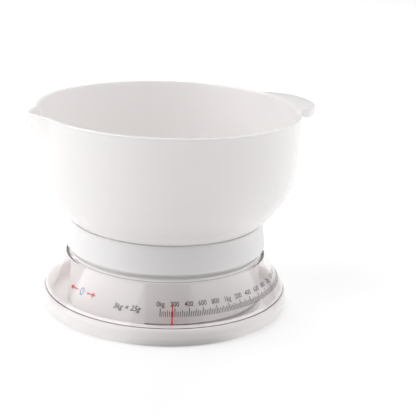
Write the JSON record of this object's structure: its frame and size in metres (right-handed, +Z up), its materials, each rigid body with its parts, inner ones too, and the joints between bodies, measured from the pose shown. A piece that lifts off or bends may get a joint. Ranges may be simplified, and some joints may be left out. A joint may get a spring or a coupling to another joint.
{
  "type": "mechanical kitchen scale",
  "caption": "White mechanical kitchen scale with a lift-off pouring bowl, a sprung platform and a clear turning dial cover over a red pointer.",
  "frame": {"origin": "on the bowl's axis at the underside of the feet, within the small difference between spout and thumb tab", "axes": "+Z up along the bowl's axis, -Y towards the front, where the dial reads zero, +X towards the thumb tab"},
  "size_m": [0.2212, 0.21, 0.1626],
  "materials": {
    "white_gloss": "satin to glossy moulded plastic",
    "white_matt": "matt moulded plastic",
    "clear": "clear moulded plastic, glossy",
    "red": "moulded in colour",
    "nylon": "natural grey, matt",
    "rubber": "matt",
    "brass": "cut, unpolished",
    "spring_steel": "drawn wire",
    "zinc_steel": "zinc plated"
  },
  "bodies": {
    "base": {"base_tray": "white_gloss", "inner_housing": "white_gloss", "foot_front_left": "rubber", "foot_front_right": "rubber", "foot_rear_left": "rubber", "foot_rear_right": "rubber", "housing_screw_1": "zinc_steel", "housing_screw_2": "zinc_steel", "housing_screw_3": "zinc_steel", "housing_screw_4": "zinc_steel", "mechanism_frame": "zinc_steel", "frame_screw_1": "zinc_steel", "frame_screw_2": "zinc_steel", "frame_screw_3": "zinc_steel", "frame_screw_4": "zinc_steel", "rack_guide": "nylon", "guide_rivet_1": "zinc_steel", "guide_rivet_2": "zinc_steel", "lower_spindle_bush": "brass", "upper_spindle_bush": "brass", "upper_lever_pin": "spring_steel", "lower_lever_pin": "spring_steel", "crank_pivot_pin": "spring_steel", "spring_seat_front": "nylon", "spring_seat_rear": "nylon", "main_spring_front": "spring_steel", "main_spring_rear": "spring_steel"},
    "platform": {"platform_drum": "white_gloss", "platform_stem": "nylon", "stem_screw_1": "zinc_steel", "stem_screw_2": "zinc_steel", "stem_screw_3": "zinc_steel", "upper_stem_pin": "spring_steel", "lower_stem_pin": "spring_steel", "crank_drive_pin": "spring_steel", "spring_yoke": "zinc_steel"},
    "bowl": {"mixing_bowl": "white_gloss"},
    "dial_cover": {"dial_cover": "clear"},
    "upper_lever": {"upper_lever": "zinc_steel"},
    "lower_lever": {"lower_lever": "zinc_steel"},
    "bell_crank": {"bell_crank": "zinc_steel"},
    "drive_rack": {"drive_rack": "brass"},
    "pointer": {"pointer_arm": "white_matt", "pointer_tip": "red", "pointer_spindle": "spring_steel", "pinion": "brass", "spindle_circlip": "spring_steel"}
  },
  "joints": [
    {"name": "platform_slide", "type": "slide", "parent": "base", "child": "platform", "axis": [0, 0, -1], "range_m": [-0.0007, 0.006], "stiffness_N_per_m": 4900, "springref_m": -0.00056, "deforming": ["main_spring_front", "main_spring_rear"]},
    {"name": "bowl_lift", "type": "slide", "parent": "platform", "child": "bowl", "axis": [0, 0, 1], "range_m": [0, 0.1]},
    {"name": "dial_cover_turn", "type": "hinge", "parent": "base", "child": "dial_cover", "pos_m": [0, 0, 0.0138], "axis": [0, 0, 1], "continuous": true},
    {"name": "upper_lever_pivot", "type": "hinge", "parent": "base", "child": "upper_lever", "pos_m": [-0.05, 0, 0.0442], "axis": [0, 1, 0], "range_deg": [-0.85, 6.95]},
    {"name": "lower_lever_pivot", "type": "hinge", "parent": "base", "child": "lower_lever", "pos_m": [-0.05, 0, 0.029], "axis": [0, 1, 0], "range_deg": [-0.85, 6.95]},
    {"name": "bell_crank_pivot", "type": "hinge", "parent": "base", "child": "bell_crank", "pos_m": [0.012, -0.0102, 0.0366], "axis": [0, -1, 0], "range_deg": [-3.4, 28.7]},
    {"name": "drive_rack_slide", "type": "slide", "parent": "base", "child": "drive_rack", "axis": [1, 0, 0], "range_m": [-0.00145, 0.0121]},
    {"name": "pointer_turn", "type": "hinge", "parent": "base", "child": "pointer", "pos_m": [0, 0, 0.01], "axis": [0, 0, 1], "range_deg": [-13, 110.2]}
  ],
  "couplings": [
    {"joint": "upper_lever_pivot", "follows": "platform_slide", "rad_per_m": 20},
    {"joint": "lower_lever_pivot", "follows": "platform_slide", "rad_per_m": 20},
    {"joint": "bell_crank_pivot", "follows": "platform_slide", "rad_per_m": 83.333},
    {"joint": "drive_rack_slide", "follows": "platform_slide", "ratio": 2},
    {"joint": "pointer_turn", "follows": "platform_slide", "rad_per_m": 320}
  ]
}
